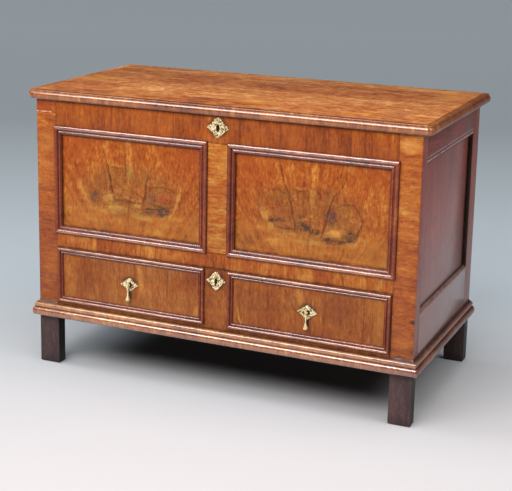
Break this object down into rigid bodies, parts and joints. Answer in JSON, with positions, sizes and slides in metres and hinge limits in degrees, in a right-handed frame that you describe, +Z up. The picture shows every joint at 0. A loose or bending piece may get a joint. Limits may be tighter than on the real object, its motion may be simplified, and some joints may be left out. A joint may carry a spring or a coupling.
{
  "type": "mule chest",
  "caption": "Panelled walnut mule chest with a hinged moulded lid over a deep well, a full-width dovetailed drawer with drop pulls below, and stile feet under a base moulding.",
  "frame": {"origin": "on the floor, under the middle of the overall bounding box", "axes": "+X to the right seen from the front, +Y from the front to the back, +Z up"},
  "size_m": [1.11, 0.5674, 0.7573],
  "materials": {
    "oak_dark": "dark stained oak, waxed",
    "walnut_front": "walnut veneer, polished",
    "walnut_figured": "figured walnut veneer, polished",
    "walnut_moulding": "dark reddish moulding, polished",
    "walnut_side": "dark stained side, waxed",
    "walnut_top": "faded walnut top, polished",
    "oak_plain": "unfinished oak",
    "brass": "pale old brass",
    "iron": "dark wrought iron"
  },
  "bodies": {
    "carcase": {"post_front_left": "oak_dark", "post_front_right": "oak_dark", "post_rear_left": "oak_dark", "post_rear_right": "oak_dark", "rail_front_top": "walnut_front", "rail_front_middle": "walnut_front", "rail_front_bottom": "oak_plain", "muntin_front": "walnut_front", "panel_front_left": "walnut_figured", "panel_front_right": "walnut_figured", "panel_moulding_left": "walnut_moulding", "panel_moulding_right": "walnut_moulding", "rail_side_top_left": "walnut_side", "rail_side_top_right": "walnut_side", "rail_side_bottom_left": "walnut_side", "rail_side_bottom_right": "walnut_side", "panel_side_left": "walnut_side", "panel_side_right": "walnut_side", "rail_back_top": "oak_plain", "back_board_lower": "oak_plain", "back_board_upper": "oak_plain", "well_floor": "oak_plain", "floor_bearer_left": "oak_plain", "floor_bearer_right": "oak_plain", "drawer_runner_left": "oak_plain", "drawer_runner_right": "oak_plain", "base_moulding_front": "walnut_moulding", "base_moulding_left": "walnut_moulding", "base_moulding_right": "walnut_moulding", "hinge_leaf_left": "iron", "hinge_leaf_right": "iron", "hinge_pin_left": "iron", "hinge_pin_right": "iron", "lid_lock_case": "iron", "lid_escutcheon": "brass"},
    "lid": {"lid_board": "walnut_top", "lid_edge_front": "walnut_top", "lid_edge_left": "walnut_top", "lid_edge_right": "walnut_top", "hinge_strap_left": "iron", "hinge_strap_right": "iron", "lid_hasp_plate": "iron"},
    "lid_bolt": {"lid_lock_bolt": "iron"},
    "drawer": {"drawer_front": "walnut_front", "drawer_side_left": "oak_plain", "drawer_side_right": "oak_plain", "drawer_back": "oak_plain", "drawer_bottom": "oak_plain", "drawer_moulding_left": "walnut_moulding", "drawer_moulding_right": "walnut_moulding", "drawer_lock_case": "iron", "drawer_escutcheon": "brass", "pull_plate_left": "brass", "pull_plate_right": "brass", "pull_post_left": "brass", "pull_post_right": "brass"},
    "drawer_bolt": {"drawer_lock_bolt": "iron"},
    "drop_left": {"pull_drop_left": "brass"},
    "drop_right": {"pull_drop_right": "brass"}
  },
  "joints": [
    {"name": "lid_hinge", "type": "hinge", "parent": "carcase", "child": "lid", "pos_m": [0, 0.27845, 0.73385], "axis": [-1, 0, 0], "range_deg": [0, 100]},
    {"name": "drawer_slide", "type": "slide", "parent": "carcase", "child": "drawer", "axis": [0, -1, 0], "range_m": [0, 0.38]},
    {"name": "lid_bolt_slide", "type": "slide", "parent": "carcase", "child": "lid_bolt", "axis": [1, 0, 0], "range_m": [0, 0.009]},
    {"name": "drawer_bolt_slide", "type": "slide", "parent": "drawer", "child": "drawer_bolt", "axis": [0, 0, 1], "range_m": [0, 0.008]},
    {"name": "pull_left_swing", "type": "hinge", "parent": "drawer", "child": "drop_left", "pos_m": [-0.252, -0.27625, 0.257], "axis": [-1, 0, 0], "range_deg": [-4, 90]},
    {"name": "pull_right_swing", "type": "hinge", "parent": "drawer", "child": "drop_right", "pos_m": [0.252, -0.27625, 0.257], "axis": [-1, 0, 0], "range_deg": [-4, 90]}
  ]
}
